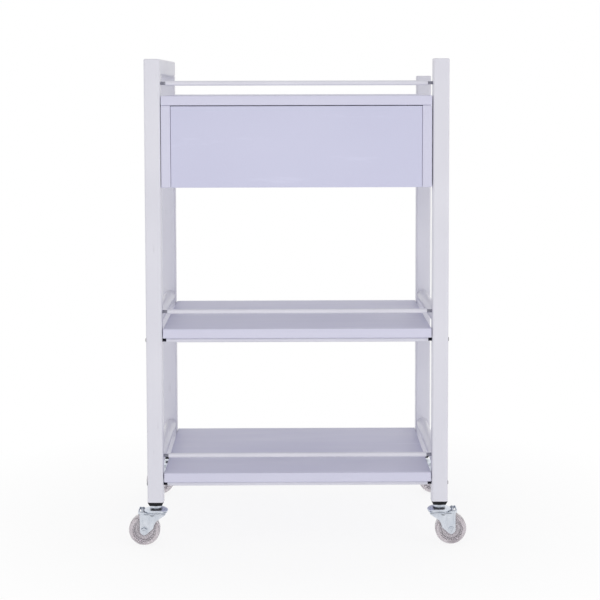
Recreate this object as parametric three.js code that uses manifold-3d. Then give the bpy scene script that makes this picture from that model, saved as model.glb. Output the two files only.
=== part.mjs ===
// Rolling salon trolley: four square tube posts, a drawer unit under a railed top, two railed shelves
// and four swivel casters with clear wheels.
// Millimetres. +Z is up, the front (drawer side) faces -Y, and the origin is on the floor at the centre.
import * as THREE from "three";
import { mergeVertices } from "three/addons/utils/BufferGeometryUtils.js";
import Module from "manifold-3d";

// Overall frame
const FRAME_WIDTH = 480;
const FRAME_DEPTH = 344;
const FRAME_HEIGHT = 777;
const SEAT_GAP = 0.3; // between pieces that rest on or beside each other

// Posts and handle
const POST_SIZE = 25.4;
const POST_WALL = 1.5;
const POST_CORNER = 3;
const POST_TOP_BEVEL = 2;
const POST_BOTTOM = 70.5;

// Boards
const BOARD = 15;
const BOARD_EASE = 1;
const BOARD_SETBACK = 1;
const SHELF_SIDE_GAP = 1.35;
const SHELF_OVER_ROD = 1; // how far a shelf runs past the rear rod's centre
const MID_SHELF_TOP = 350;
const LOW_SHELF_TOP = 118;
const TOP_BOARD_TOP = 719;

// Rods between the posts
const ROD_DIAMETER = 7.5;
const GUARD_RAIL_END_GAP = 8;
const SHELF_ROD_END_GAP = 6;
const ROD_END_EASE = 0.8;
const CORE_DIAMETER = 5.2;
const CORE_CLEARANCE = 0.3;
const CORE_REACH = 4; // how far a rail's core runs into each post
const BOLT_HEAD_DIAMETER = 8;
const BOLT_HEAD_HEIGHT = 1.4;
const TOP_RAIL_RISE = 19.8;
const SHELF_RAIL_RISE = 26.5;

// Side rails, round tubes from front post to rear post
const SIDE_RAIL_DIAMETER = 19;
const SIDE_RAIL_WALL = 1.5;
const SIDE_RAIL_RISE = 11;
const SIDE_RAIL_INSET = 1.5;

// Drawer unit
const UNIT_LEFT_GAP = 0.8;
const UNIT_RIGHT_GAP = 1.9;
const PANEL_HEIGHT = 129;
const UNIT_BACK = 12;
const DRAWER_REVEAL = 0.5;
const DRAWER_TOP_GAP = 0.9;
const DRAWER_WALL = 12;
const DRAWER_FLOOR = 5;
const DRAWER_SIDE_HEIGHT = 95;
const DRAWER_FLOOR_RISE = 10;
const DRAWER_DEPTH = 295;

// Drawer runners
const RUNNER_SPACE = 12.7;
const RUNNER_LENGTH = 290;
const RUNNER_HEIGHT = 35;
const RUNNER_DEPTH = 9.6;
const RUNNER_SHEET = 1.4;
const RUNNER_CLEARANCE = 0.6;
const RUNNER_RISE = 42;
const RUNNER_SETBACK = 4;

// Casters
const WHEEL_DIAMETER = 50;
const WHEEL_WIDTH = 19;
const WHEEL_SHOULDER = 3;
const WHEEL_RIM = 7;
const WHEEL_WEB = 9;
const HUB_DIAMETER = 17;
const CASTER_TRAIL = 18.5;
const FORK_SHEET = 2;
const FORK_SIDE_GAP = 2;
const FORK_BOSS_RADIUS = 7;
const CROWN_CLEARANCE = 2; // between the wheel's top and the fork's crown
const CROWN_RADIUS = 18;
const RACE_GAP = 0.4;
const HEAD_RADIUS = 19.4;
const HEAD_RIM = 1.8;
const HEAD_HEIGHT = 6.2;
const KING_PIN_RADIUS = 4.7;
const KING_PIN_CLEARANCE = 0.3;
const RIVET_RADIUS = 7;
const RIVET_HEIGHT = 2.4;
const COLLAR_RADIUS = 8.7;
const STEM_RADIUS = 5;
const STEM_LENGTH = 24;
const PLUG_HEIGHT = 6;
const PLUG_TAPER = 2.4;
const PLUG_INSERT = 22;
const PLUG_CLEARANCE = 0.4;
const AXLE_RADIUS = 3;
const AXLE_CLEARANCE = 0.3;
const AXLE_HEAD_RADIUS = 5.2;
const AXLE_HEAD_HEIGHT = 2.6;
const AXLE_NUT_ACROSS = 10;
const AXLE_NUT_HEIGHT = 4;
const AXLE_TIP = 1.6;

// Brake lever of a front caster, on a pivot through the ears of the fork's legs
const EAR_RADIUS = 3.6;
const BRAKE_PIVOT_RISE = 4; // above the wheel's top
const BRAKE_STUB_RADIUS = 1.5;
const LEVER_SHEET = 1.4;
const LEVER_PAD_GAP = 1; // the pad clears the legs as it swings down
const LEVER_TIP_REACH = 7; // inboard of the pivot
const LEVER_TIP_LOW = 0.8;
const LEVER_TIP_HIGH = 1;
const LEVER_PAD_LOW = 1.6;
const LEVER_PAD_HIGH = 3.6;
const LEVER_CORNER = 1.4;

// Fork leg outline, from the stem's axis and up from the axle
const GUSSET_X = -1.5;
const GUSSET_RISE = 15.5;
const LEG_INNER_X = 3.3;
const LEG_KNEE_RISE = 4;
const LEG_SHOULDER_RISE = 21.5;
const LEG_SHOULDER_RUN = 6.5;

// Facets round a full turn
const TUBE_FACETS = 24;
const ROD_FACETS = 16;
const BOLT_FACETS = 12;
const HOLE_FACETS = 12;
const CASTER_FACETS = 16;
const WHEEL_FACETS = 24;

const wasm = await Module();
wasm.setup();

// ---- Solids ----

function bare(geometry) {
  const open = geometry.index ? geometry.toNonIndexed() : geometry;
  const plain = new THREE.BufferGeometry();
  plain.setAttribute("position", open.getAttribute("position"));
  return mergeVertices(plain, 1e-4);
}

function solid(geometry) {
  const merged = bare(geometry);
  return new wasm.Manifold(
    new wasm.Mesh({
      numProp: 3,
      vertProperties: merged.attributes.position.array,
      triVerts: new Uint32Array(merged.index.array),
    }),
  );
}

function shapeOf(manifold) {
  const mesh = manifold.getMesh();
  const geometry = new THREE.BufferGeometry();
  geometry.setAttribute("position", new THREE.BufferAttribute(mesh.vertProperties, 3));
  geometry.setIndex(new THREE.BufferAttribute(mesh.triVerts, 1));
  const open = geometry.toNonIndexed();
  open.computeVertexNormals();
  return open;
}

function cut(body, ...tools) {
  return shapeOf(tools.reduce((left, tool) => left.subtract(solid(tool)), solid(body)));
}

function join(first, ...rest) {
  return shapeOf(rest.reduce((sum, next) => sum.add(solid(next)), solid(first)));
}

// ---- Basic shapes ----

// A rectangle centred on the origin whose corners are arcs, or single flats with one segment.
function rectangle(width, height, radius) {
  const x = width / 2;
  const y = height / 2;
  const shape = new THREE.Shape();
  shape.moveTo(-x + radius, -y);
  shape.lineTo(x - radius, -y);
  shape.absarc(x - radius, -y + radius, radius, -Math.PI / 2, 0);
  shape.absarc(x - radius, y - radius, radius, 0, Math.PI / 2);
  shape.absarc(-x + radius, y - radius, radius, Math.PI / 2, Math.PI);
  shape.absarc(-x + radius, -y + radius, radius, Math.PI, 1.5 * Math.PI);
  return shape;
}

// A square prism along Z from low to high with eased ends.
function prism(size, radius, bevel, low, high, segments) {
  return new THREE.ExtrudeGeometry(rectangle(size, size, radius), {
    depth: high - low - 2 * bevel,
    bevelEnabled: bevel > 0,
    bevelThickness: bevel,
    bevelSize: bevel,
    bevelOffset: -bevel,
    bevelSegments: 1,
    curveSegments: segments,
  }).translate(0, 0, low + bevel);
}

function block(xLow, xHigh, yLow, yHigh, zLow, zHigh) {
  return new THREE.BoxGeometry(xHigh - xLow, yHigh - yLow, zHigh - zLow).translate(
    (xLow + xHigh) / 2,
    (yLow + yHigh) / 2,
    (zLow + zHigh) / 2,
  );
}

// A board: a box whose edges are eased all round.
function board(xLow, xHigh, yLow, yHigh, zLow, zHigh) {
  const shape = rectangle(xHigh - xLow, yHigh - yLow, BOARD_EASE);
  return new THREE.ExtrudeGeometry(shape, {
    depth: zHigh - zLow - 2 * BOARD_EASE,
    bevelThickness: BOARD_EASE,
    bevelSize: BOARD_EASE,
    bevelOffset: -BOARD_EASE,
    bevelSegments: 1,
    curveSegments: 1,
  }).translate((xLow + xHigh) / 2, (yLow + yHigh) / 2, zLow + BOARD_EASE);
}

// A profile of [radius, place] pairs turned about the Z axis; places run upwards along the outside.
function turned(profile, segments) {
  const points = profile.map(([radius, place]) => new THREE.Vector2(radius, place));
  return new THREE.LatheGeometry(points, segments).rotateX(Math.PI / 2);
}

function cylinder(radius, low, high, segments) {
  const profile = [
    [0, low],
    [radius, low],
    [radius, high],
    [0, high],
  ];
  return turned(profile, segments);
}

const alongX = (geometry) => geometry.rotateY(Math.PI / 2);
const alongY = (geometry) => geometry.rotateX(-Math.PI / 2);

// ---- Materials ----

function finish(color, roughness, metalness, opacity = 1) {
  return new THREE.MeshStandardMaterial({
    color,
    roughness,
    metalness,
    opacity,
    transparent: opacity < 1,
  });
}

const PAINT = () => finish(0xe4e3ec, 0.4, 0);
const MELAMINE = () => finish(0xcfcfe6, 0.5, 0);
const DARK_STEEL = () => finish(0x3a3a42, 0.45, 0.9);
const ZINC = () => finish(0xaeb4bf, 0.3, 1);
const BLACK_PLASTIC = () => finish(0x101012, 0.5, 0);
const CLEAR_PLASTIC = () => finish(0xe8e4e8, 0.15, 0, 0.4);

const trolley = new THREE.Group();

function add(parent, name, geometry, material) {
  const mesh = new THREE.Mesh(geometry, material());
  mesh.name = name;
  parent.add(mesh);
  return mesh;
}

// ---- Places that the pieces share ----

const postX = (FRAME_WIDTH - POST_SIZE) / 2;
const postY = (FRAME_DEPTH - POST_SIZE) / 2;
const innerX = FRAME_WIDTH / 2 - POST_SIZE;
const innerY = FRAME_DEPTH / 2 - POST_SIZE;
const rearPostTop = FRAME_HEIGHT - POST_SIZE - SEAT_GAP;
const boardFront = -FRAME_DEPTH / 2 + BOARD_SETBACK;
const boardRear = postY + SHELF_OVER_ROD;
const rodRadius = ROD_DIAMETER / 2;
const coreRadius = CORE_DIAMETER / 2;
const underRod = (shelfTop) => shelfTop - BOARD - SEAT_GAP - rodRadius;

// Each rod: its name, its row of posts (-1 front, 1 rear), its height and whether a bolt clamps it.
const rods = [
  { name: "top_guard_rail", side: -1, z: TOP_BOARD_TOP + TOP_RAIL_RISE, bolted: false },
  { name: "mid_guard_rail", side: -1, z: MID_SHELF_TOP + SHELF_RAIL_RISE, bolted: false },
  { name: "low_guard_rail", side: -1, z: LOW_SHELF_TOP + SHELF_RAIL_RISE, bolted: false },
  { name: "mid_front_shelf_rod", side: -1, z: underRod(MID_SHELF_TOP), bolted: true },
  { name: "mid_rear_shelf_rod", side: 1, z: underRod(MID_SHELF_TOP), bolted: true },
  { name: "low_front_shelf_rod", side: -1, z: underRod(LOW_SHELF_TOP), bolted: true },
  { name: "low_rear_shelf_rod", side: 1, z: underRod(LOW_SHELF_TOP), bolted: true },
];

// ---- Posts, handle and side rails ----

// A tube closed at its top and open at its foot, drilled for the rods of its row.
function post(xSide, ySide, top, bevel) {
  const outer = prism(POST_SIZE, POST_CORNER, bevel, POST_BOTTOM - POST_SIZE, top, 2);
  const below = block(-POST_SIZE, POST_SIZE, -POST_SIZE, POST_SIZE, 0, POST_BOTTOM);
  const bore = prism(
    POST_SIZE - 2 * POST_WALL,
    POST_CORNER - POST_WALL,
    0,
    POST_BOTTOM - POST_SIZE,
    top - POST_WALL,
    2,
  );
  const holes = rods
    .filter((rod) => rod.side === ySide)
    .map((rod) => {
      const radius = coreRadius + CORE_CLEARANCE;
      const inward = -xSide * POST_SIZE;
      const outward = rod.bolted ? xSide * POST_SIZE : 0;
      const low = Math.min(inward, outward);
      const high = Math.max(inward, outward);
      return alongX(cylinder(radius, low, high, HOLE_FACETS)).translate(0, 0, rod.z);
    });
  return cut(outer, below, bore, ...holes).translate(xSide * postX, ySide * postY, 0);
}

for (const [yName, ySide] of [
  ["front", -1],
  ["rear", 1],
]) {
  for (const [xName, xSide] of [
    ["left", -1],
    ["right", 1],
  ]) {
    const top = ySide < 0 ? FRAME_HEIGHT : rearPostTop;
    const underHandle = xSide < 0 && ySide > 0;
    const bevel = underHandle ? 0 : POST_TOP_BEVEL;
    add(trolley, `${yName}_${xName}_post`, post(xSide, ySide, top, bevel), PAINT);
  }
}

// The push handle runs back from the front left post and over the shorter rear left post.
function handleBar() {
  const front = -innerY + SEAT_GAP;
  const rear = FRAME_DEPTH / 2;
  const outer = prism(POST_SIZE, POST_CORNER, POST_TOP_BEVEL, front - POST_SIZE, rear, 2);
  const ahead = block(-POST_SIZE, POST_SIZE, -POST_SIZE, POST_SIZE, front - 2 * POST_SIZE, front);
  const bore = prism(
    POST_SIZE - 2 * POST_WALL,
    POST_CORNER - POST_WALL,
    0,
    front - POST_SIZE,
    rear - POST_WALL,
    2,
  );
  return alongY(cut(outer, ahead, bore)).translate(-postX, 0, FRAME_HEIGHT - POST_SIZE / 2);
}

add(trolley, "left_handle_bar", handleBar(), PAINT);

function sideRail(xSide, shelfTop) {
  const radius = SIDE_RAIL_DIAMETER / 2;
  const half = innerY - SEAT_GAP;
  const profile = [
    [radius - SIDE_RAIL_WALL, -half],
    [radius, -half],
    [radius, half],
    [radius - SIDE_RAIL_WALL, half],
    [radius - SIDE_RAIL_WALL, -half],
  ];
  const x = xSide * (innerX + SIDE_RAIL_INSET + radius);
  return alongY(turned(profile, TUBE_FACETS)).translate(x, 0, shelfTop + SIDE_RAIL_RISE);
}

for (const [level, shelfTop] of [
  ["mid", MID_SHELF_TOP],
  ["low", LOW_SHELF_TOP],
]) {
  add(trolley, `${level}_left_side_rail`, sideRail(-1, shelfTop), PAINT);
  add(trolley, `${level}_right_side_rail`, sideRail(1, shelfTop), PAINT);
}

// ---- Rods: a white sleeve on a steel core ----

function rodSleeve(bolted) {
  const half = innerX - (bolted ? SHELF_ROD_END_GAP : GUARD_RAIL_END_GAP);
  const bore = coreRadius + CORE_CLEARANCE;
  const profile = [
    [bore, -half],
    [rodRadius - ROD_END_EASE, -half],
    [rodRadius, -half + ROD_END_EASE],
    [rodRadius, half - ROD_END_EASE],
    [rodRadius - ROD_END_EASE, half],
    [bore, half],
    [bore, -half],
  ];
  return alongX(turned(profile, ROD_FACETS));
}

function rodCore(bolted) {
  const head = FRAME_WIDTH / 2 + SEAT_GAP;
  const headRadius = BOLT_HEAD_DIAMETER / 2;
  const tip = innerX + CORE_REACH;
  const profile = bolted
    ? [
        [0, -head - BOLT_HEAD_HEIGHT],
        [headRadius - BOLT_HEAD_HEIGHT / 2, -head - BOLT_HEAD_HEIGHT],
        [headRadius, -head - BOLT_HEAD_HEIGHT / 2],
        [headRadius, -head],
        [coreRadius, -head],
        [coreRadius, head],
        [headRadius, head],
        [headRadius, head + BOLT_HEAD_HEIGHT / 2],
        [headRadius - BOLT_HEAD_HEIGHT / 2, head + BOLT_HEAD_HEIGHT],
        [0, head + BOLT_HEAD_HEIGHT],
      ]
    : [
        [0, -tip],
        [coreRadius, -tip],
        [coreRadius, tip],
        [0, tip],
      ];
  return alongX(turned(profile, BOLT_FACETS));
}

for (const rod of rods) {
  const y = rod.side * postY;
  add(trolley, rod.name, rodSleeve(rod.bolted).translate(0, y, rod.z), PAINT);
  const core = rodCore(rod.bolted).translate(0, y, rod.z);
  if (rod.bolted) add(trolley, `${rod.name}_bolt`, core, DARK_STEEL);
  else add(trolley, `${rod.name}_pin`, core, ZINC);
}

// ---- Shelves ----

for (const [name, top] of [
  ["mid_shelf", MID_SHELF_TOP],
  ["low_shelf", LOW_SHELF_TOP],
]) {
  const half = innerX - SHELF_SIDE_GAP;
  add(trolley, name, board(-half, half, boardFront, boardRear, top - BOARD, top), MELAMINE);
}

// ---- Drawer unit ----

const unitLeft = -innerX + UNIT_LEFT_GAP;
const unitRight = innerX - UNIT_RIGHT_GAP;
const panelTop = TOP_BOARD_TOP - BOARD - SEAT_GAP;
const panelBottom = panelTop - PANEL_HEIGHT;
const panelInnerLeft = unitLeft + BOARD;
const panelInnerRight = unitRight - BOARD;
const backFront = boardRear - UNIT_BACK;
const unit = new THREE.Group();
trolley.add(unit);

add(
  unit,
  "unit_top_board",
  board(unitLeft, unitRight, boardFront, boardRear, TOP_BOARD_TOP - BOARD, TOP_BOARD_TOP),
  MELAMINE,
);
add(
  unit,
  "unit_left_panel",
  board(unitLeft, panelInnerLeft, boardFront, boardRear, panelBottom, panelTop),
  MELAMINE,
);
add(
  unit,
  "unit_right_panel",
  board(panelInnerRight, unitRight, boardFront, boardRear, panelBottom, panelTop),
  MELAMINE,
);
add(
  unit,
  "unit_back_panel",
  board(
    panelInnerLeft + SEAT_GAP,
    panelInnerRight - SEAT_GAP,
    backFront,
    boardRear,
    panelBottom,
    panelTop,
  ),
  MELAMINE,
);

// ---- Drawer: five boards between the runners ----

const drawer = new THREE.Group();
trolley.add(drawer);
const drawerLeft = panelInnerLeft + RUNNER_SPACE;
const drawerRight = panelInnerRight - RUNNER_SPACE;
const drawerFrontBack = boardFront + BOARD;
const drawerBase = panelBottom + DRAWER_FLOOR_RISE;
const drawerRear = drawerFrontBack + DRAWER_DEPTH;
const drawerRim = drawerBase + DRAWER_SIDE_HEIGHT;
const floorTop = drawerBase + DRAWER_FLOOR;

add(
  drawer,
  "drawer_front",
  board(
    panelInnerLeft + DRAWER_REVEAL,
    panelInnerRight - DRAWER_REVEAL,
    boardFront,
    drawerFrontBack,
    panelBottom,
    panelTop - DRAWER_TOP_GAP,
  ),
  MELAMINE,
);
for (const [name, low] of [
  ["drawer_left_side", drawerLeft],
  ["drawer_right_side", drawerRight - DRAWER_WALL],
]) {
  const front = drawerFrontBack + SEAT_GAP;
  add(
    drawer,
    name,
    board(low, low + DRAWER_WALL, front, drawerRear, floorTop + SEAT_GAP, drawerRim),
    MELAMINE,
  );
}
add(
  drawer,
  "drawer_back",
  board(
    drawerLeft + DRAWER_WALL + SEAT_GAP,
    drawerRight - DRAWER_WALL - SEAT_GAP,
    drawerRear - DRAWER_WALL,
    drawerRear,
    floorTop + SEAT_GAP,
    drawerRim,
  ),
  MELAMINE,
);
add(
  drawer,
  "drawer_floor",
  board(
    drawerLeft,
    drawerRight,
    drawerFrontBack + SEAT_GAP,
    drawerRear,
    drawerBase,
    floorTop,
  ),
  MELAMINE,
);

// ---- Runners: a channel on the panel and a member on the drawer that slides in it ----

// The channel's section opens towards +X, with its web on the Z axis.
function channelSection() {
  const half = RUNNER_HEIGHT / 2;
  const shape = new THREE.Shape();
  shape.moveTo(0, -half);
  shape.lineTo(RUNNER_DEPTH, -half);
  shape.lineTo(RUNNER_DEPTH, -half + RUNNER_SHEET);
  shape.lineTo(RUNNER_SHEET, -half + RUNNER_SHEET);
  shape.lineTo(RUNNER_SHEET, half - RUNNER_SHEET);
  shape.lineTo(RUNNER_DEPTH, half - RUNNER_SHEET);
  shape.lineTo(RUNNER_DEPTH, half);
  shape.lineTo(0, half);
  return shape;
}

function sliderSection() {
  const low = RUNNER_SHEET + RUNNER_CLEARANCE;
  const high = RUNNER_SPACE - 2 * SEAT_GAP;
  const half = RUNNER_HEIGHT / 2 - RUNNER_SHEET - RUNNER_CLEARANCE;
  const shape = new THREE.Shape();
  shape.moveTo(low, -half);
  shape.lineTo(high, -half);
  shape.lineTo(high, half);
  shape.lineTo(low, half);
  return shape;
}

// A section in X and Z carried back along Y from the front end.
function runner(section, xSide) {
  const geometry = new THREE.ExtrudeGeometry(section, { depth: RUNNER_LENGTH, bevelEnabled: false });
  const turn = xSide < 0 ? 0 : Math.PI;
  const face = xSide < 0 ? panelInnerLeft + SEAT_GAP : panelInnerRight - SEAT_GAP;
  const front = drawerFrontBack + RUNNER_SETBACK;
  return geometry
    .translate(0, 0, -RUNNER_LENGTH / 2)
    .rotateX(Math.PI / 2)
    .rotateZ(turn)
    .translate(face, front + RUNNER_LENGTH / 2, drawerBase + RUNNER_RISE);
}

for (const [side, xSide] of [
  ["left", -1],
  ["right", 1],
]) {
  add(unit, `${side}_runner_channel`, runner(channelSection(), xSide), ZINC);
  add(drawer, `${side}_runner_slider`, runner(sliderSection(), xSide), ZINC);
}

// ---- Casters ----
// In a caster's own frame the stem is on the Z axis, the floor is at zero and the wheel trails towards +X.

const wheelRadius = WHEEL_DIAMETER / 2;
const crownLow = WHEEL_DIAMETER + CROWN_CLEARANCE;
const crownHigh = crownLow + FORK_SHEET;
const headLow = crownHigh + RACE_GAP;
const headHigh = headLow + HEAD_HEIGHT;
const plugLow = POST_BOTTOM - PLUG_HEIGHT;
const forkInner = WHEEL_WIDTH / 2 + FORK_SIDE_GAP;
const forkOuter = forkInner + FORK_SHEET;
const axleHole = AXLE_RADIUS + AXLE_CLEARANCE;
const brakePivotX = CASTER_TRAIL + FORK_BOSS_RADIUS - EAR_RADIUS;
const brakePivotZ = WHEEL_DIAMETER + BRAKE_PIVOT_RISE;

function plug() {
  const insertSize = POST_SIZE - 2 * POST_WALL - 2 * PLUG_CLEARANCE;
  const insertCorner = POST_CORNER - POST_WALL;
  const insert = prism(insertSize, insertCorner, 0, plugLow + PLUG_HEIGHT / 2, POST_BOTTOM + PLUG_INSERT, 2);
  const flangeTop = POST_SIZE / Math.SQRT2;
  const flangeFoot = (POST_SIZE - 2 * PLUG_TAPER) / Math.SQRT2;
  const flange = new THREE.CylinderGeometry(flangeTop, flangeFoot, PLUG_HEIGHT - SEAT_GAP, 4)
    .rotateX(Math.PI / 2)
    .rotateZ(Math.PI / 4)
    .translate(0, 0, plugLow + (PLUG_HEIGHT - SEAT_GAP) / 2);
  const bore = cylinder(STEM_RADIUS + KING_PIN_CLEARANCE, 0, 2 * POST_BOTTOM, CASTER_FACETS);
  return cut(join(insert, flange), bore);
}

// Stem, lock collar, upper race cap and the king pin riveted under the fork's crown, as one turned part.
function stemHead() {
  const rivetTop = crownLow - SEAT_GAP;
  const collarTop = plugLow - SEAT_GAP;
  const profile = [
    [0, rivetTop - RIVET_HEIGHT],
    [RIVET_RADIUS - RIVET_HEIGHT / 2, rivetTop - RIVET_HEIGHT],
    [RIVET_RADIUS, rivetTop - RIVET_HEIGHT / 2],
    [RIVET_RADIUS, rivetTop],
    [KING_PIN_RADIUS, rivetTop],
    [KING_PIN_RADIUS, headLow],
    [HEAD_RADIUS, headLow],
    [HEAD_RADIUS, headLow + HEAD_RIM],
    [HEAD_RADIUS - HEAD_RIM, headLow + 2 * HEAD_RIM],
    [COLLAR_RADIUS, headHigh],
    [COLLAR_RADIUS, collarTop],
    [STEM_RADIUS, collarTop],
    [STEM_RADIUS, collarTop + STEM_LENGTH],
    [0, collarTop + STEM_LENGTH],
  ];
  return turned(profile, CASTER_FACETS);
}

// A fork leg's outline in X and Z: a gusset under the crown, then a leg down to the boss round the axle.
function legShape(braked) {
  const boss = FORK_BOSS_RADIUS;
  const outerX = CASTER_TRAIL + boss;
  const run = LEG_INNER_X - CASTER_TRAIL;
  const tangent = Math.atan2(LEG_KNEE_RISE, run) + Math.acos(boss / Math.hypot(LEG_KNEE_RISE, run));
  const gussetZ = wheelRadius + GUSSET_RISE;
  const kneeZ = wheelRadius + LEG_KNEE_RISE;
  const shape = new THREE.Shape();
  shape.moveTo(-CROWN_RADIUS, crownHigh);
  shape.lineTo(-CROWN_RADIUS, crownLow);
  shape.lineTo(GUSSET_X, gussetZ);
  shape.quadraticCurveTo(LEG_INNER_X, (gussetZ + kneeZ) / 2, LEG_INNER_X, kneeZ);
  shape.absarc(CASTER_TRAIL, wheelRadius, boss, tangent, 2 * Math.PI);
  if (braked) {
    shape.lineTo(brakePivotX + EAR_RADIUS, brakePivotZ);
    shape.absarc(brakePivotX, brakePivotZ, EAR_RADIUS, 0, Math.PI);
  } else {
    shape.lineTo(outerX, wheelRadius + LEG_SHOULDER_RISE);
    shape.lineTo(outerX - LEG_SHOULDER_RUN, crownHigh);
  }
  shape.lineTo(-CROWN_RADIUS, crownHigh);
  return shape;
}

// A shape in X and Z made a plate between two places along Y.
function plate(shape, yLow, yHigh) {
  return new THREE.ExtrudeGeometry(shape, {
    depth: yHigh - yLow,
    bevelEnabled: false,
    curveSegments: 6,
  })
    .rotateX(Math.PI / 2)
    .translate(0, yHigh, 0);
}

function fork(braked) {
  const legs = [
    plate(legShape(braked), -forkOuter, -forkInner),
    plate(legShape(braked), forkInner, forkOuter),
  ];
  const bridgeEnd = brakePivotX - EAR_RADIUS;
  const bridge = block(-CROWN_RADIUS / 2, bridgeEnd, -forkOuter, forkOuter, crownLow, crownHigh);
  const disc = cylinder(CROWN_RADIUS, crownLow, crownHigh, CASTER_FACETS);
  const kingHole = cylinder(KING_PIN_RADIUS + KING_PIN_CLEARANCE, 0, headHigh, CASTER_FACETS);
  const reach = forkOuter + FORK_SHEET;
  const axleBore = alongY(cylinder(axleHole, -reach, reach, CASTER_FACETS));
  const holes = [kingHole, axleBore.translate(CASTER_TRAIL, 0, wheelRadius)];
  if (braked) {
    const stubBore = BRAKE_STUB_RADIUS + AXLE_CLEARANCE;
    const through = alongY(cylinder(stubBore, -reach, reach, HOLE_FACETS));
    holes.push(through.translate(brakePivotX, 0, brakePivotZ));
  }
  return cut(join(disc, bridge, ...legs), ...holes);
}

// The wheel's section: hub, thin web, then the rim with chamfered shoulders.
function wheel() {
  const half = WHEEL_WIDTH / 2;
  const hubHalf = forkInner - SEAT_GAP;
  const hub = HUB_DIAMETER / 2;
  const rimInner = wheelRadius - WHEEL_RIM;
  const web = WHEEL_WEB / 2;
  const side = [
    [hub, hubHalf],
    [hub, web],
    [rimInner, web],
    [rimInner, half],
    [wheelRadius - WHEEL_SHOULDER, half],
    [wheelRadius, half - WHEEL_SHOULDER],
  ];
  const lower = side.map(([radius, place]) => [radius, -place]);
  const upper = [...side].reverse();
  const wall = [
    [axleHole, hubHalf],
    [axleHole, -hubHalf],
  ];
  const profile = [wall[1], ...lower, ...upper, ...wall];
  // A facet faces down, and the facets' middles lie at the stated radius.
  const halfFacet = Math.PI / WHEEL_FACETS;
  const spread = 1 / Math.cos(halfFacet);
  const round = turned(profile, WHEEL_FACETS).rotateZ(halfFacet).scale(spread, spread, 1);
  return alongY(round).translate(CASTER_TRAIL, 0, wheelRadius);
}

// Axle bolt with a round head towards -Y and a hexagon nut towards +Y.
function axle() {
  const washer = forkOuter + SEAT_GAP;
  const tip = washer + AXLE_NUT_HEIGHT + AXLE_TIP;
  const head = [
    [0, -washer - AXLE_HEAD_HEIGHT],
    [AXLE_HEAD_RADIUS - AXLE_HEAD_HEIGHT / 2, -washer - AXLE_HEAD_HEIGHT],
    [AXLE_HEAD_RADIUS, -washer - AXLE_HEAD_HEIGHT / 2],
    [AXLE_HEAD_RADIUS, -washer],
    [AXLE_RADIUS, -washer],
    [AXLE_RADIUS, tip],
    [0, tip],
  ];
  const nut = cylinder(AXLE_NUT_ACROSS / Math.sqrt(3), washer, washer + AXLE_NUT_HEIGHT, 6);
  return alongY(join(turned(head, CASTER_FACETS), nut)).translate(CASTER_TRAIL, 0, wheelRadius);
}

// Two cheeks outside the legs, a pad across their outboard ends and a stub through the ears.
function brakeLever() {
  const inner = forkOuter + SEAT_GAP;
  const outer = inner + LEVER_SHEET;
  const padInner = EAR_RADIUS + LEVER_PAD_GAP;
  const padOuter = padInner + LEVER_SHEET;
  const shape = new THREE.Shape();
  shape.moveTo(-LEVER_TIP_REACH, -LEVER_TIP_LOW);
  shape.lineTo(padOuter - LEVER_CORNER, -LEVER_PAD_LOW);
  shape.quadraticCurveTo(padOuter, -LEVER_PAD_LOW, padOuter, LEVER_CORNER - LEVER_PAD_LOW);
  shape.lineTo(padOuter, LEVER_PAD_HIGH - LEVER_CORNER);
  shape.quadraticCurveTo(padOuter, LEVER_PAD_HIGH, padOuter - LEVER_CORNER, LEVER_PAD_HIGH);
  shape.lineTo(-LEVER_TIP_REACH, LEVER_TIP_HIGH);
  const cheeks = [plate(shape, -outer, -inner), plate(shape, inner, outer)];
  const padTop = LEVER_PAD_HIGH - LEVER_CORNER;
  const pad = block(padInner, padOuter, -outer, outer, LEVER_CORNER - LEVER_PAD_LOW, padTop);
  const stub = alongY(cylinder(BRAKE_STUB_RADIUS, -outer, outer, HOLE_FACETS));
  return join(stub, pad, ...cheeks).translate(brakePivotX, 0, brakePivotZ);
}

function caster(name, braked) {
  const group = new THREE.Group();
  add(group, `${name}_plug`, plug(), BLACK_PLASTIC);
  add(group, `${name}_stem_head`, stemHead(), ZINC);
  add(group, `${name}_fork`, fork(braked), ZINC);
  add(group, `${name}_axle`, axle(), ZINC);
  add(group, `${name}_wheel`, wheel(), CLEAR_PLASTIC);
  if (braked) add(group, `${name}_brake_lever`, brakeLever(), ZINC);
  return group;
}

for (const [yName, ySide] of [
  ["front", -1],
  ["rear", 1],
]) {
  for (const [xName, xSide] of [
    ["left", -1],
    ["right", 1],
  ]) {
    const group = caster(`${yName}_${xName}_caster`, ySide < 0);
    group.position.set(xSide * postX, ySide * postY, 0);
    group.rotation.z = xSide < 0 ? Math.PI : 0;
    trolley.add(group);
  }
}

export default trolley;
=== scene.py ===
import math

import bmesh
import bpy
import numpy as np
from mathutils import Matrix, Vector


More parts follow.
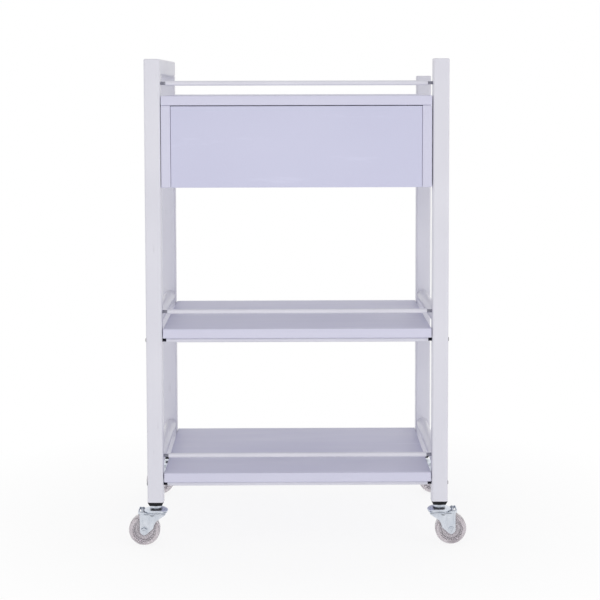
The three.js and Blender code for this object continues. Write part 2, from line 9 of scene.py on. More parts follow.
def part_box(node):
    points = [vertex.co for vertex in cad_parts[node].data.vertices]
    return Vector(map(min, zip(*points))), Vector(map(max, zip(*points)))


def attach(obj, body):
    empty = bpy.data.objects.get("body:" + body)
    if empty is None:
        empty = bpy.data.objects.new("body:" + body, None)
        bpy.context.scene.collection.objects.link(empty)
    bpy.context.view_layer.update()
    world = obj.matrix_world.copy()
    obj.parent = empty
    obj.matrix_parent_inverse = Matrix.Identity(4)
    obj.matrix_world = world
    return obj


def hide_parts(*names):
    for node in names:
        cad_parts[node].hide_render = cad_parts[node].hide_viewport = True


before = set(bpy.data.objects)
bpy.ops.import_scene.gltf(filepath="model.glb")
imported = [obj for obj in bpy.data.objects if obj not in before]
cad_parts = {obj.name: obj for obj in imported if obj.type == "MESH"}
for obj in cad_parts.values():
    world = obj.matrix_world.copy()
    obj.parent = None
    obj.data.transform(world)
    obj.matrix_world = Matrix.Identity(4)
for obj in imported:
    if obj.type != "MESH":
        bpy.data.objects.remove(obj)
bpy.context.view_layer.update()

# Lengths in this script are millimetres until piece() writes a mesh, which is in metres.
MM = 0.001
QUARTER = math.pi / 2

# Sizes repeated from the part where a box does not give them
POST_HALF, POST_WALL, POST_CORNER = 12.7, 1.5, 3.0
POST_X, POST_Y = 227.3, 159.3
BORE_RADIUS = 2.9
TRAIL, AXLE_Z = 18.5, 25.0
BOSS_RADIUS = 7.0
LEG_MIDDLE, SHEET = 12.5, 2.0
CROWN_Z, CROWN_BEND = 53.0, 2.5
PIVOT_X, PIVOT_Z, EAR_RADIUS = 21.9, 54.0, 3.6

# Roundings of the boards' edges
BOARD_EDGE, FRONT_EDGE, DRAWER_EDGE = 1.3, 0.9, 1.1

# Mesh clean-up: merging distance in metres, a broad flat's normal, and the angle of a sharp edge
WELD = 2e-6
FLAT_FACE = 0.99995
SHARP_EDGE = math.radians(35)


def box_mm(node):
    low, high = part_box(node)
    return np.array(low) / MM, np.array(high) / MM


# ---- Surfaces ----

def skin(rings, closed=False):
    """Rings of points become quads between neighbours. An open run has a flat face at each end,
    and a closed run comes back to its first ring."""
    rows, cols = rings.shape[:2]
    row = np.arange(rows if closed else rows - 1)[:, None]
    col = np.arange(cols)[None, :]
    beyond, beside = (row + 1) % rows, (col + 1) % cols
    corners = [row * cols + col, row * cols + beside, beyond * cols + beside, beyond * cols + col]
    quads = np.stack(corners, -1)
    faces = quads.reshape(-1, 4).tolist()
    if not closed:
        faces += [list(range(cols)), list(range((rows - 1) * cols, rows * cols))]
    return rings.reshape(-1, 3), faces


def arcs(steps):
    """Angles of four quarter turns with the signs of the corner that each belongs to."""
    quarter = np.linspace(0, QUARTER, steps + 1)
    angle = np.concatenate([quarter + k * QUARTER for k in range(4)])
    side = np.repeat([1, -1, -1, 1], steps + 1)
    fore = np.repeat([1, 1, -1, -1], steps + 1)
    return angle, side, fore


def rounded_box(low, high, radius, steps=4):
    """A direction on the sphere times the edge radius, plus the inner box's corner on that side."""
    half = (high - low) / 2 - radius
    lon, side, fore = arcs(steps)
    quarter = np.linspace(0, QUARTER, steps + 1)
    lat = np.concatenate([quarter - QUARTER, quarter])[:, None]
    up = np.repeat([-1, 1], steps + 1)[:, None]
    way = np.stack([np.cos(lat) * np.cos(lon), np.cos(lat) * np.sin(lon), np.sin(lat) + 0 * lon], -1)
    corner = np.stack([side + 0 * lat, fore + 0 * lat, up + 0 * lon], -1)
    return skin((low + high) / 2 + radius * way + corner * half)


def soften(points, radius, closed=False, steps=4):
    """Each corner of a profile becomes a parabola between the points one radius away on its two sides."""
    corner = np.array(points, float)
    back, on = np.roll(corner, 1, 0) - corner, np.roll(corner, -1, 0) - corner
    back_length = np.linalg.norm(back, axis=1, keepdims=True)
    on_length = np.linalg.norm(on, axis=1, keepdims=True)
    reach = np.zeros((len(corner), 1)) + np.reshape(radius, (-1, 1))
    start = corner + back / back_length * np.minimum(reach, 0.49 * back_length)
    end = corner + on / on_length * np.minimum(reach, 0.49 * on_length)
    t = np.linspace(0, 1, steps + 1)[None, :, None]
    curve = (1 - t) ** 2 * start[:, None] + 2 * t * (1 - t) * corner[:, None] + t ** 2 * end[:, None]
    if not closed:
        curve[0], curve[-1] = corner[0], corner[-1]
    return curve.reshape(-1, 2)


ALONG = {"x": (2, 0, 1), "y": (1, 2, 0), "z": (0, 1, 2)}


def turned(profile, axis, centre, closed=False, sides=48):
    """A profile of radius and place carried round an axis through the centre."""
    radius, place = profile[:, :1], profile[:, 1:]
    turn = np.linspace(0, 2 * math.pi, sides, endpoint=False)[None, :]
    rings = np.stack([radius * np.cos(turn), radius * np.sin(turn), place + 0 * turn], -1)
    return skin(rings[..., ALONG[axis]] + np.array(centre), closed)


def square_rings(half, corner, place, steps=6):
    """Rings of a rounded square: the inner square's corner plus the corner radius round a quarter turn."""
    half, corner, place = (np.array(v, float)[:, None] for v in (half, corner, place))
    angle, side, fore = arcs(steps)
    across = (half - corner) * side + corner * np.cos(angle)
    deep = (half - corner) * fore + corner * np.sin(angle)
    return np.stack([across, deep, place + 0 * across], -1)


def closed_tube(low, high, top_radius):
    """A square tube along Z: down its bore from the inner end face, over the rim, and up to a rounded end."""
    turn = np.linspace(0, QUARTER, 6)
    half = [POST_HALF - POST_WALL] * 2 + [POST_HALF - 0.3, POST_HALF]
    corner = [POST_CORNER - POST_WALL] * 2 + [POST_CORNER - 0.3, POST_CORNER]
    place = [high - POST_WALL, low, low, low + 0.3]
    half += list(POST_HALF - top_radius * (1 - np.cos(turn)))
    corner += list(POST_CORNER - top_radius * (1 - np.cos(turn)))
    place += list(high - top_radius * (1 - np.sin(turn)))
    return square_rings(half, corner, place)


def strip(path, low, high, thick, order, rib=None, flats=14, arc=6):
    """A bent strip of sheet: at each point of a path in a plane its section runs across the plane from
    low to high, half the thickness to each side of the path, with fully rounded edges. The rib is a
    height added along the path's normal, a function of the place across and the step along the path."""
    run = np.gradient(path, axis=0)
    run /= np.linalg.norm(run, axis=1, keepdims=True)
    normal = np.stack([run[:, 1], -run[:, 0]], -1)
    edge = thick / 2
    flat = np.linspace(-1, 1, flats)
    turn = np.linspace(QUARTER, -QUARTER, arc + 2)[1:-1]
    weight = np.concatenate([flat, np.ones(arc), flat[::-1], -np.ones(arc)])
    out = np.concatenate([0 * flat, edge * np.cos(turn), 0 * flat, -edge * np.cos(turn)])
    lift = np.concatenate([edge + 0 * flat, edge * np.sin(turn), -edge + 0 * flat, -edge * np.sin(turn)])
    middle, half = (low + high)[:, None] / 2, np.maximum((high - low)[:, None] / 2 - edge, 0.01)
    across = middle + weight * half + out
    lift = lift + 0 * across
    if rib is not None:
        lift = lift + rib(across, np.arange(len(path))[:, None])
    plane = path[:, None, :] + lift[..., None] * normal[:, None, :]
    rings = np.stack([across, plane[..., 0], plane[..., 1]], -1)
    return skin(rings[..., order])


def shifted(shell, turn, x, y):
    """A caster's shell turned to face its way and set on its post's axis."""
    points, faces = shell
    return points * np.array([turn, turn, 1]) + np.array([x, y, 0]), faces


def piece(name, shells, finish, body, slot, *nodes):
    """One object from closed shells: doubles merged, faces turned outwards, broad flats left flat."""
    points, faces, start = [], [], 0
    for verts, quads in shells:
        points.append(verts)
        faces += [[start + i for i in face] for face in quads]
        start += len(verts)
    mesh = bpy.data.meshes.new(name)
    mesh.from_pydata((np.concatenate(points) * MM).tolist(), [], faces)
    work = bmesh.new()
    work.from_mesh(mesh)
    bmesh.ops.remove_doubles(work, verts=work.verts, dist=WELD)
    bmesh.ops.recalc_face_normals(work, faces=work.faces)
    work.to_mesh(mesh)
    work.free()
    normals = np.zeros(len(mesh.polygons) * 3, np.float32)
    mesh.polygons.foreach_get("normal", normals)
    smooth = np.abs(normals.reshape(-1, 3)).max(1) < FLAT_FACE
    mesh.polygons.foreach_set("use_smooth", smooth)
    mesh.set_sharp_from_angle(angle=SHARP_EDGE)
    mesh.materials.append(finish)
    thing = bpy.data.objects.new(name, mesh)
    bpy.context.scene.collection.objects.link(thing)
    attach(thing, body)
    if nodes:
        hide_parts(*nodes)
    return thing


# ---- Finishes ----

def tone(red, green, blue):
    """A display colour as linear light."""
    c = np.array([red, green, blue]) / 255
    linear = np.where(c <= 0.04045, c / 12.92, ((c + 0.055) / 1.055) ** 2.4)
    return (*linear.tolist(), 1.0)


class Finish:
    """A material whose pattern reads Object coordinates, with a few kinds of layer."""

    def __init__(self, name, **constants):
        self.material = bpy.data.materials.new(name)
        self.material.use_nodes = True
        self.tree = self.material.node_tree
        self.shader = self.tree.nodes["Principled BSDF"]
        self.place = self.tree.nodes.new("ShaderNodeTexCoord").outputs["Object"]
        for socket, value in constants.items():
            self.shader.inputs[socket.replace("_", " ")].default_value = value

    def node(self, kind, inputs=(), **settings):
        made = self.tree.nodes.new("ShaderNode" + kind)
        for key, value in settings.items():
            setattr(made, key, value)
        for socket, value in dict(inputs).items():
            if isinstance(value, bpy.types.NodeSocket):
                self.tree.links.new(value, made.inputs[socket])
            else:
                made.inputs[socket].default_value = value
        return made

    def noise(self, scale, detail=3.0, rough=0.55, stretch=(1, 1, 1)):
        where = self.node("Mapping", {"Vector": self.place, "Scale": stretch}).outputs["Vector"]
        made = self.node("TexNoise", {"Vector": where, "Scale": scale, "Detail": detail, "Roughness": rough})
        return made.outputs["Fac"]

    def span(self, value, low, high, to_low=0.0, to_high=1.0):
        made = self.node("MapRange", {"Value": value, "From Min": low, "From Max": high,
                                      "To Min": to_low, "To Max": to_high})
        return made.outputs["Result"]

    def blend(self, amount, first, second):
        made = self.node("Mix", {"Factor": amount}, data_type="RGBA")
        for socket, value in ((6, first), (7, second)):
            if isinstance(value, bpy.types.NodeSocket):
                self.tree.links.new(value, made.inputs[socket])
            else:
                made.inputs[socket].default_value = value
        return made.outputs[2]

    def colour(self, value):
        self.tree.links.new(value, self.shader.inputs["Base Color"])

    def roughness(self, value):
        self.tree.links.new(value, self.shader.inputs["Roughness"])

    def bump(self, *layers):
        """Each layer is a height with its depth in millimetres."""
        normal = None
        for height, depth in layers:
            inputs = {"Height": height, "Distance": depth * MM, "Strength": 1.0}
            if normal is not None:
                inputs["Normal"] = normal
            normal = self.node("Bump", inputs).outputs["Normal"]
        self.tree.links.new(normal, self.shader.inputs["Normal"])


def powder_coat(name, main, shade):
    """Smooth powder coat: soft cloudy tone, fine orange peel and a few faint rub marks."""
    f = Finish(name, Specular_IOR_Level=0.45, Coat_Weight=0.12, Coat_Roughness=0.2)
    cloud = f.span(f.noise(7, 2), 0.3, 0.7)
    base = f.blend(cloud, tone(*main), tone(*shade))
    rubs = f.span(f.noise(160, 4, 0.6, (1, 1, 0.12)), 0.66, 0.74, 0, 0.35)
    f.colour(f.blend(rubs, base, tone(*(c - 22 for c in shade))))
    f.roughness(f.span(f.noise(60, 3), 0.25, 0.75, 0.3, 0.46))
    f.bump((f.noise(620, 2), 0.012), (f.noise(120, 2), 0.02))
    return f.material


def melamine(name, main, shade):
    """Laminate board: pale lilac tone with a fine pearl grain and faint long wipe marks."""
    f = Finish(name, Specular_IOR_Level=0.4)
    cloud = f.span(f.noise(4, 2), 0.3, 0.7)
    base = f.blend(cloud, tone(*main), tone(*shade))
    grain = f.span(f.noise(900, 3, 0.7), 0.35, 0.65, 0, 0.35)
    base = f.blend(grain, base, tone(*(c - 10 for c in shade)))
    wipes = f.span(f.noise(55, 4, 0.6, (0.15, 1, 1)), 0.62, 0.72, 0, 0.3)
    f.colour(f.blend(wipes, base, tone(*(c + 8 for c in main))))
    f.roughness(f.span(f.noise(40, 3, 0.6, (0.2, 1, 1)), 0.25, 0.75, 0.38, 0.56))
    f.bump((f.noise(1300, 2), 0.008), (f.noise(260, 3), 0.012))
    return f.material


def zinc(name, main, shade, dull):
    """Bright zinc plate: mottled grey-blue tone, rolling streaks and pitted dull spots."""
    f = Finish(name, Metallic=1.0)
    cloud = f.span(f.noise(70, 4, 0.6), 0.3, 0.7)
    base = f.blend(cloud, tone(*main), tone(*shade))
    streak = f.span(f.noise(240, 4, 0.6, (1, 1, 0.12)), 0.4, 0.7, 0, 0.5)
    base = f.blend(streak, base, tone(*dull))
    pits = f.span(f.noise(700, 2), 0.68, 0.74, 0, 0.6)
    f.colour(f.blend(pits, base, tone(*(c * 0.5 for c in dull))))
    f.roughness(f.span(f.noise(110, 4, 0.6), 0.3, 0.7, 0.2, 0.42))
    f.bump((f.noise(420, 3, 0.6, (1, 1, 0.2)), 0.02), (f.noise(60, 2), 0.04))
    return f.material


def black_plastic(name):
    """Moulded black plastic: fine spark grain and grey scuffs."""
    f = Finish(name, Specular_IOR_Level=0.35)
    base = f.blend(f.span(f.noise(60, 3), 0.3, 0.7), tone(12, 12, 14), tone(24, 24, 27))
    scuff = f.span(f.noise(300, 4, 0.6, (0.2, 0.2, 1)), 0.64, 0.74, 0, 0.4)
    f.colour(f.blend(scuff, base, tone(70, 70, 74)))
    f.roughness(f.span(f.noise(150, 3), 0.3, 0.7, 0.4, 0.62))
    f.bump((f.noise(1500, 2), 0.02))
    return f.material


def clear_resin(name, main, shade, transmission, low, high):
    """Clear moulded resin: faint pinkish tint, flow lines and fine running scuffs."""
    f = Finish(name, Transmission_Weight=transmission, IOR=1.45)
    cloud = f.span(f.noise(45, 3), 0.3, 0.7)
    base = f.blend(cloud, tone(*main), tone(*shade))
    marks = f.span(f.noise(120, 3, 0.6, (1, 0.3, 1)), 0.68, 0.8, 0, 0.25)
    f.colour(f.blend(marks, base, tone(*(c - 55 for c in shade))))
    f.roughness(f.span(f.noise(140, 4, 0.6), 0.3, 0.7, low, high))
    f.bump((f.noise(40, 2), 0.01), (f.noise(300, 2, 0.6, (1, 0.2, 1)), 0.0015))
    return f.material


post_coat = powder_coat("powder_coat_posts", (222, 222, 230), (217, 217, 226))
rod_coat = powder_coat("powder_coat_rods", (222, 222, 231), (215, 215, 225))
board_face = melamine("melamine_boards", (213, 213, 231), (209, 209, 228))
front_face = melamine("melamine_drawer_front", (207, 208, 230), (202, 203, 226))
caster_zinc = zinc("zinc_casters", (229, 233, 240), (212, 218, 228), (190, 197, 208))
pin_zinc = zinc("zinc_pins", (168, 168, 180), (150, 150, 162), (120, 120, 132))
runner_zinc = zinc("zinc_runners", (178, 182, 188), (158, 162, 170), (130, 134, 142))
bolt_steel = zinc("dark_steel_bolts", (52, 52, 60), (34, 34, 40), (22, 22, 26))
plug_plastic = black_plastic("black_plastic_plugs")
tyre_resin = clear_resin("clear_tyre", (226, 220, 224), (210, 202, 208), 0.6, 0.1, 0.2)
hub_resin = clear_resin("clear_hub", (226, 221, 226), (210, 204, 210), 0.45, 0.18, 0.34)

# ---- Posts, handle and side rails ----

for row in ("front", "rear"):
    for side in ("left", "right"):
        node = f"{row}_{side}_post"
        low, high = box_mm(node)
        rounding = 0.3 if node == "rear_left_post" else 2.0
        rings = closed_tube(low[2], high[2], rounding)
        rings[..., :2] += (low[:2] + high[:2]) / 2
        piece(node + "_tube", [skin(rings)], post_coat, "frame", "frame_paint", node)

low, high = box_mm("left_handle_bar")
rings = closed_tube(low[1], high[1], 2.0)[..., [0, 2, 1]]
rings[..., [0, 2]] += ((low + high) / 2)[[0, 2]]
piece("handle_bar_tube", [skin(rings)], post_coat, "frame", "frame_paint", "left_handle_bar")

for level in ("mid", "low"):
    for side in ("left", "right"):
        node = f"{level}_{side}_side_rail"
        low, high = box_mm(node)
        centre, reach = (low + high) / 2, (high[1] - low[1]) / 2
        wall = soften([(8, -reach), (9.5, -reach), (9.5, reach), (8, reach)], 0.4, closed=True)
        piece(node + "_tube", [turned(wall, "y", centre, closed=True, sides=64)], rod_coat,
              "frame", "frame_paint", node)

# ---- Rods with their pins and bolts ----

RODS = ("top_guard_rail", "mid_guard_rail", "low_guard_rail", "mid_front_shelf_rod", "mid_rear_shelf_rod",
        "low_front_shelf_rod", "low_rear_shelf_rod")
for node in RODS:
    low, high = box_mm(node)
    centre, reach = (low + high) / 2, (high[0] - low[0]) / 2
    wall = [(BORE_RADIUS, -reach), (3.75, -reach), (3.75, reach), (BORE_RADIUS, reach)]
    sleeve = soften(wall, 0.6, closed=True)
    piece(node + "_sleeve", [turned(sleeve, "x", centre, closed=True)], rod_coat, "frame", "frame_paint", node)
    bolted = "shelf_rod" in node
    core = node + ("_bolt" if bolted else "_pin")
    low, high = box_mm(core)
    tip = (high[0] - low[0]) / 2
    if bolted:
        head = tip - 1.4
        profile = [(0, -tip), (2.6, -tip), (4, -head - 0.5), (4, -head), (2.6, -head),
                   (2.6, head), (4, head), (4, head + 0.5), (2.6, tip), (0, tip)]
        shells = [turned(soften(profile, [0, 1, 0.5, 0.1, 0.1, 0.1, 0.1, 0.5, 1, 0]), "x", centre)]
        piece(core + "_steel", shells, bolt_steel, "frame", "dark_steel", core)
    else:
        profile = soften([(0, -tip), (2.6, -tip), (2.6, tip), (0, tip)], 0.4)
        piece(core + "_steel", [turned(profile, "x", centre)], pin_zinc, "frame", "pin_zinc", core)

# ---- Boards ----

FRAME_BOARDS = ("mid_shelf", "low_shelf", "unit_top_board", "unit_left_panel", "unit_right_panel",
                "unit_back_panel")
for node in FRAME_BOARDS:
    piece(node + "_board", [rounded_box(*box_mm(node), BOARD_EDGE)], board_face, "frame", "melamine_board", node)
piece("drawer_front_board", [rounded_box(*box_mm("drawer_front"), FRONT_EDGE)], front_face, "drawer",
      "melamine_board", "drawer_front")
for node in ("drawer_left_side", "drawer_right_side", "drawer_back", "drawer_floor"):
    piece(node + "_board", [rounded_box(*box_mm(node), DRAWER_EDGE)], board_face, "drawer", "melamine_board", node)
for side in ("left", "right"):
    for member in ("channel", "slider"):
        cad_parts[f"{side}_runner_{member}"].data.materials.clear()
        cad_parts[f"{side}_runner_{member}"].data.materials.append(runner_zinc)

# ---- Casters ----

def plug_shell():
    """A tapered square flange and a square insert on one bore: rounded-square rings between two round ones."""
    half = [5.3, 9.8, 10.3, 12.5, 12.7, 12.5, 10.8, 10.8, 10.0, 5.3]
    corner = [5.3, 1.6, 2.1, 2.6, 2.6, 2.4, 1.5, 1.5, 1.0, 5.3]
    place = [64.5, 64.5, 65.0, 69.6, 69.9, 70.2, 70.2, 91.7, 92.5, 92.5]
    return skin(square_rings(half, corner, place), closed=True)


def stem_head_shell():
    """The rivet, king pin, domed race cap, lock collar and stem as one turned profile."""
    profile = [(0, 49.3), (5.8, 49.3), (7, 50.5), (7, 51.7), (4.7, 51.7), (4.7, 54.4), (18.6, 54.4),
               (19.4, 55.2), (19.2, 56.4), (17.2, 58.4), (11.5, 60.4), (8.7, 60.6), (8.7, 64.2),
               (5, 64.2), (5, 88.2), (0, 88.2)]
    softness = [0, 1, 0.6, 0.2, 0.1, 0.1, 0.7, 0.7, 1, 2, 2, 0.6, 0.5, 0.2, 0.6, 0]
    return turned(soften(profile, softness), "z", (0, 0, 0), sides=64)


def leg_edges(z, braked):
    """Inboard and outboard edges of a leg at a height: the boss's circle, the leg, then the gusset."""
    tangent = np.radians(np.linspace(270, 228.8, 9))
    curve = np.linspace(0, 1, 9)
    low_z = [*(AXLE_Z + BOSS_RADIUS * np.sin(tangent)), *(29 + 11.5 * curve), 52]
    bend = (1 - curve) ** 2 * 3.3 + 2 * curve * (1 - curve) * 3.3 - curve ** 2 * 1.5
    low_x = [*(TRAIL + BOSS_RADIUS * np.cos(tangent)), *bend, -18]
    boss = np.radians(np.linspace(-90, 0, 9))
    high_z = [*(AXLE_Z + BOSS_RADIUS * np.sin(boss)), 46.5, 50.6, 52]
    high_x = [*(TRAIL + BOSS_RADIUS * np.cos(boss)), 25.5, 25.5 if braked else 21.6, 18.6]
    return np.interp(z, low_z, low_x), np.interp(z, high_z, high_x)


def fork_shells(braked):
    """One strip runs up a leg, over the crown and down the other leg, with an upright rib pressed
    outwards near each leg's inboard edge. A flat disc lies round it at the crown."""
    boss = AXLE_Z - BOSS_RADIUS * np.cos(np.linspace(0, QUARTER, 10))
    rise = np.concatenate([boss, np.linspace(25.8, 50.5, 26)])
    turn = np.linspace(0, QUARTER, 7)[1:]
    side = np.concatenate([LEG_MIDDLE + 0 * rise, LEG_MIDDLE - CROWN_BEND * (1 - np.cos(turn))])
    height = np.concatenate([rise, CROWN_Z - CROWN_BEND * (1 - np.sin(turn))])
    low, high = leg_edges(np.minimum(height, 50.5), braked)
    over = np.linspace(-8, 8, 9)
    path = np.stack([np.concatenate([-side, over, side[::-1]]),
                     np.concatenate([height, CROWN_Z + 0 * over, height[::-1]])], -1)
    ease = np.clip((height - 48) / 4, 0, 1)
    high = high * (1 - ease) + 18.3 * ease
    low = np.concatenate([low, low[-1] + 0 * over, low[::-1]])
    high = np.concatenate([high, high[-1] + 0 * over, high[::-1]])
    level = path[:, 1]

    def rib(across, step):
        """A raised cosine across the leg, outwards, faded out at the boss and under the crown."""
        share = np.clip(np.abs(across - 5.4) / 4.6, 0, 1)
        fade = np.clip((level[step] - 25) / 6, 0, 1) * np.clip((51.5 - level[step]) / 3, 0, 1)
        return -0.7 * (1 + np.cos(math.pi * share)) * fade

    shells = [strip(path, low, high, 1.9, (0, 1, 2), rib, flats=26)]
    disc = soften([(5, 52), (18, 52), (18, 54), (5, 54)], [0.2, 0.9, 0.9, 0.2], closed=True)
    shells.append(turned(disc, "z", (0, 0, 0), closed=True, sides=64))
    if braked:
        top = PIVOT_Z + EAR_RADIUS * np.sin(np.linspace(0, QUARTER, 9))
        half = EAR_RADIUS * np.cos(np.linspace(0, QUARTER, 9))
        ear_z = np.concatenate([[46, 50], top])
        ear_half = np.concatenate([[EAR_RADIUS, EAR_RADIUS], half])
        for ear in (-1, 1):
            line = np.stack([ear * LEG_MIDDLE + 0 * ear_z, ear_z], -1)
            shells.append(strip(line, PIVOT_X - ear_half, PIVOT_X + ear_half, SHEET, (0, 1, 2), flats=4))
    return shells


def axle_shells():
    """A turned bolt with a domed, dimpled head, and a nut whose radius follows a hexagon and is
    trimmed by a cone at both faces."""
    head = [(0, -15.6), (1.2, -15.7), (1.6, -16.2), (3.6, -16.4), (5.2, -15.0), (5.2, -13.8), (3, -13.8),
            (3, 19.0), (2.4, 19.4), (0, 19.4)]
    bolt = turned(soften(head, [0, 0.3, 0.3, 1, 0.8, 0.1, 0.1, 0.3, 0.3, 0]), "y", (TRAIL, 0, AXLE_Z))
    turn = np.linspace(0, 2 * math.pi, 72, endpoint=False)
    flat = 5 / np.cos((turn + math.pi / 6) % (math.pi / 3) - math.pi / 6)
    place = np.array([13.8, 13.8, 14.1, 14.6, 17.0, 17.5, 17.8, 17.8])[:, None]
    most = np.array([3.02, 4.9, 5.3, 5.8, 5.8, 5.3, 4.9, 3.02])[:, None]
    radius = np.minimum(flat, most)
    rings = np.stack([TRAIL + radius * np.cos(turn), place + 0 * turn, AXLE_Z + radius * np.sin(turn)], -1)
    return [bolt, skin(rings, closed=True)]


def tyre_shell():
    """The tyre's section: soft shoulders, a slightly crowned tread and a lip over the hub's rim."""
    section = [(18.1, -8.2), (19, -9.3), (22.3, -9.5), (24.6, -7.6), (25, -4), (25, 4), (24.6, 7.6),
               (22.3, 9.5), (19, 9.3), (18.1, 8.2)]
    softness = [0.4, 0.6, 1.4, 1.4, 2, 2, 1.4, 1.4, 0.6, 0.4]
    ring = soften(section, softness, closed=True)
    return turned(ring, "y", (TRAIL, 0, AXLE_Z), closed=True, sides=96)


def hub_shell():
    """The hub, its dished web with a raised ring, and the rim that carries the tyre."""
    side = [(3.3, 11.2), (7.9, 11.2), (8.5, 10.4), (8.7, 5.2), (9.6, 4.5), (10.6, 5.6), (11.6, 4.5), (15.6, 4.5),
            (16.2, 7.6), (17.9, 7.9)]
    section = [(r, -p) for r, p in side] + [(r, p) for r, p in reversed(side)]
    return turned(soften(section, 0.5, closed=True), "y", (TRAIL, 0, AXLE_Z), closed=True, sides=96)


def lever_shells():
    """A strip bent round the outboard end: it runs back along one cheek, across the pad and along
    the other cheek, and its edges spread from the tip towards the pad. A stub joins the cheeks."""
    turn = np.linspace(0, QUARTER, 8)
    reach = np.concatenate([np.linspace(-7, 3.3, 9), 3.3 + 2 * np.sin(turn[1:])])
    side = np.concatenate([14.5 + np.zeros(9), 12.5 + 2 * np.cos(turn[1:])])
    over = np.linspace(-10, 10, 9)
    x = np.concatenate([reach, 5.3 + 0 * over, reach[::-1]])
    y = np.concatenate([-side, over, side[::-1]])
    share = np.clip((x + 7) / 12.3, 0, 1)
    low = PIVOT_Z - 0.8 - 0.6 * share
    high = PIVOT_Z + 1.0 + 2.5 * share ** 1.5
    shell = strip(np.stack([PIVOT_X + x, y], -1), low, high, 1.4, (1, 2, 0), flats=6)
    stub = soften([(0, -15.1), (1.5, -15.1), (1.5, 15.1), (0, 15.1)], 0.3)
    return [shell, turned(stub, "y", (PIVOT_X, 0, PIVOT_Z), sides=32)]


for row, fore in (("front", -1), ("rear", 1)):
    for side, turn in (("left", -1), ("right", 1)):
        caster = f"{row}_{side}_caster"
        spot = (turn, turn * POST_X, fore * POST_Y)
        swivel, spin = caster + "_swivel_body", caster + "_wheel_body"
        braked = row == "front"

        def set_down(name, shells, finish, body, slot, *nodes):
            piece(f"{caster}_{name}", [shifted(s, *spot) for s in shells], finish, body, slot,
                  *(f"{caster}_{n}" for n in nodes))

        set_down("moulded_plug", [plug_shell()], plug_plastic, "frame", "black_plastic", "plug")
        set_down("turned_stem_head", [stem_head_shell()], caster_zinc, "frame", "caster_zinc", "stem_head")
        set_down("pressed_fork", fork_shells(braked), caster_zinc, swivel, "caster_zinc", "fork")
        set_down("axle_bolt_and_nut", axle_shells(), caster_zinc, swivel, "caster_zinc", "axle")
        set_down("wheel_hub", [hub_shell()], hub_resin, spin, "clear_wheel", "wheel")
        set_down("wheel_tyre", [tyre_shell()], tyre_resin, spin, "clear_wheel")
        if braked:
            set_down("pressed_brake_lever", lever_shells(), caster_zinc, caster + "_brake_body", "caster_zinc",
                     "brake_lever")

# ---- Floor, light and camera ----

def seen_rays(tree):
    """One for camera, glossy and transmission rays, so that metal and resin show the pale ground too."""
    path = tree.nodes.new("ShaderNodeLightPath")
    first = tree.nodes.new("ShaderNodeMath")
    first.operation = "MAXIMUM"
    tree.links.new(path.outputs["Is Camera Ray"], first.inputs[0])
    tree.links.new(path.outputs["Is Glossy Ray"], first.inputs[1])
    both = tree.nodes.new("ShaderNodeMath")
    both.operation = "MAXIMUM"
    tree.links.new(first.outputs[0], both.inputs[0])
    tree.links.new(path.outputs["Is Transmission Ray"], both.inputs[1])
    return both.outputs[0]


FLOOR_REACH = 12.0
mesh = bpy.data.meshes.new("floor")
corners = np.array([(-1, -1, 0), (1, -1, 0), (1, 1, 0), (-1, 1, 0)]) * FLOOR_REACH
corners[:, 2] = -0.0003
mesh.from_pydata(corners.tolist(), [], [[0, 1, 2, 3]])
floor = bpy.data.objects.new("floor", mesh)
bpy.context.scene.collection.objects.link(floor)
paper = bpy.data.materials.new("pale_floor")
paper.use_nodes = True
tree = paper.node_tree
tree.nodes["Principled BSDF"].inputs["Base Color"].default_value = tone(250, 250, 251)
tree.nodes["Principled BSDF"].inputs["Roughness"].default_value = 0.9
glow = tree.nodes.new("ShaderNodeEmission")
glow.inputs["Color"].default_value = (1, 1, 1, 1)
share = tree.nodes.new("ShaderNodeMath")
share.operation = "MULTIPLY"
tree.links.new(seen_rays(tree), share.inputs[0])
where = tree.nodes.new("ShaderNodeTexCoord")
away = tree.nodes.new("ShaderNodeVectorMath")
away.operation = "LENGTH"
tree.links.new(where.outputs["Object"], away.inputs[0])
fade = tree.nodes.new("ShaderNodeMapRange")
fade.inputs["From Min"].default_value = 0.3  # metres from the middle of the floor
fade.inputs["From Max"].default_value = 0.75
fade.inputs["To Min"].default_value = 0.86
fade.inputs["To Max"].default_value = 1.0
tree.links.new(away.outputs["Value"], fade.inputs["Value"])
tree.links.new(fade.outputs["Result"], share.inputs[1])
# The floor also lights the trolley a little from below.
lift = tree.nodes.new("ShaderNodeMath")
lift.operation = "MAXIMUM"
tree.links.new(share.outputs[0], lift.inputs[0])
lift.inputs[1].default_value = 0.3
mixed = tree.nodes.new("ShaderNodeMixShader")
tree.links.new(lift.outputs[0], mixed.inputs[0])
tree.links.new(tree.nodes["Principled BSDF"].outputs[0], mixed.inputs[1])
tree.links.new(glow.outputs[0], mixed.inputs[2])
tree.links.new(mixed.outputs[0], tree.nodes["Material Output"].inputs["Surface"])
mesh.materials.append(paper)

world = bpy.data.worlds.new("studio")
world.use_nodes = True
bpy.context.scene.world = world
tree = world.node_tree
ground = tree.nodes["Background"]
ground.inputs["Color"].default_value = (1.0, 0.985, 0.99, 1)
ground.inputs["Strength"].default_value = 0.66
white = tree.nodes.new("ShaderNodeBackground")
white.inputs["Color"].default_value = (1, 1, 1, 1)
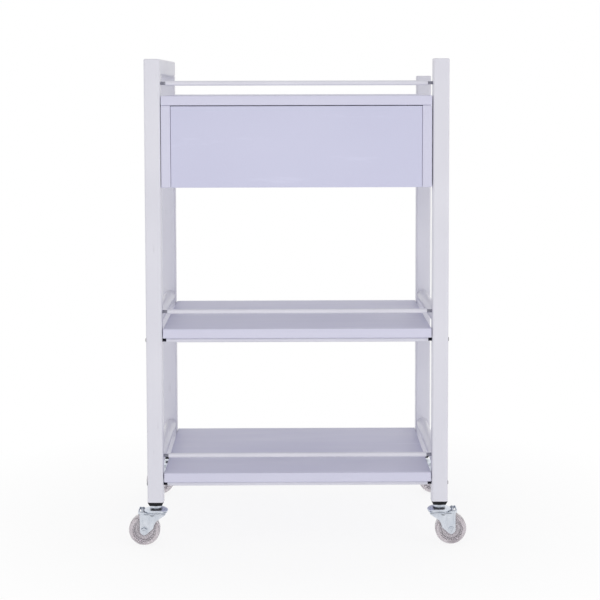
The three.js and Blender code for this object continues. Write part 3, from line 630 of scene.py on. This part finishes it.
# Metal facing the front meets a grey card there, and white everywhere else.
way = tree.nodes.new("ShaderNodeTexCoord")
part = tree.nodes.new("ShaderNodeSeparateXYZ")
tree.links.new(way.outputs["Generated"], part.inputs[0])
card = tree.nodes.new("ShaderNodeMapRange")
card.inputs["From Min"].default_value = -0.95
card.inputs["From Max"].default_value = -0.55
card.inputs["To Min"].default_value = 0.34
card.inputs["To Max"].default_value = 1.0
tree.links.new(part.outputs["Y"], card.inputs["Value"])
rays = tree.nodes.new("ShaderNodeLightPath")
level = tree.nodes.new("ShaderNodeMix")
tree.links.new(rays.outputs["Is Glossy Ray"], level.inputs[0])
level.inputs[2].default_value = 1.0
tree.links.new(card.outputs["Result"], level.inputs[3])
tree.links.new(level.outputs[0], white.inputs["Strength"])
mixed = tree.nodes.new("ShaderNodeMixShader")
tree.links.new(seen_rays(tree), mixed.inputs[0])
tree.links.new(ground.outputs[0], mixed.inputs[1])
tree.links.new(white.outputs[0], mixed.inputs[2])
tree.links.new(mixed.outputs[0], tree.nodes["World Output"].inputs["Surface"])


def soft_lamp(name, place, size, power):
    """A square lamp that faces the middle of the trolley."""
    lamp = bpy.data.lights.new(name, "AREA")
    lamp.size = size
    lamp.energy = power
    thing = bpy.data.objects.new(name, lamp)
    thing.location = place
    thing.visible_glossy = False
    way = Vector((0, 0, 0.4)) - Vector(place)
    thing.rotation_euler = way.to_track_quat("-Z", "Y").to_euler()
    bpy.context.scene.collection.objects.link(thing)


soft_lamp("front_softbox", (-0.9, -3.4, 0.5), 2.4, 36)
soft_lamp("right_softbox", (2.6, -1.6, 0.8), 1.8, 14)

yaw, pitch, roll = math.radians(0.454), math.radians(4.23), -0.0022
forward = Vector((math.sin(yaw) * math.cos(pitch), math.cos(yaw) * math.cos(pitch), -math.sin(pitch)))
right = Vector((math.cos(yaw), -math.sin(yaw), 0))
up = right.cross(forward)
turned_right = math.cos(roll) * right + math.sin(roll) * up
turned_up = math.cos(roll) * up - math.sin(roll) * right
camera = bpy.data.objects.new("camera", bpy.data.cameras.new("camera"))
columns = (turned_right, turned_up, -forward, Vector((-0.0150, -2.655, 0.7373)))
camera.matrix_world = Matrix([[c[i] for c in columns] for i in range(3)] + [[0, 0, 0, 1]])
camera.data.sensor_width = 36
camera.data.lens = 94.8
camera.data.shift_y = -0.1653
bpy.context.scene.collection.objects.link(camera)
bpy.context.scene.camera = camera
bpy.context.scene.view_settings.view_transform = "Standard"
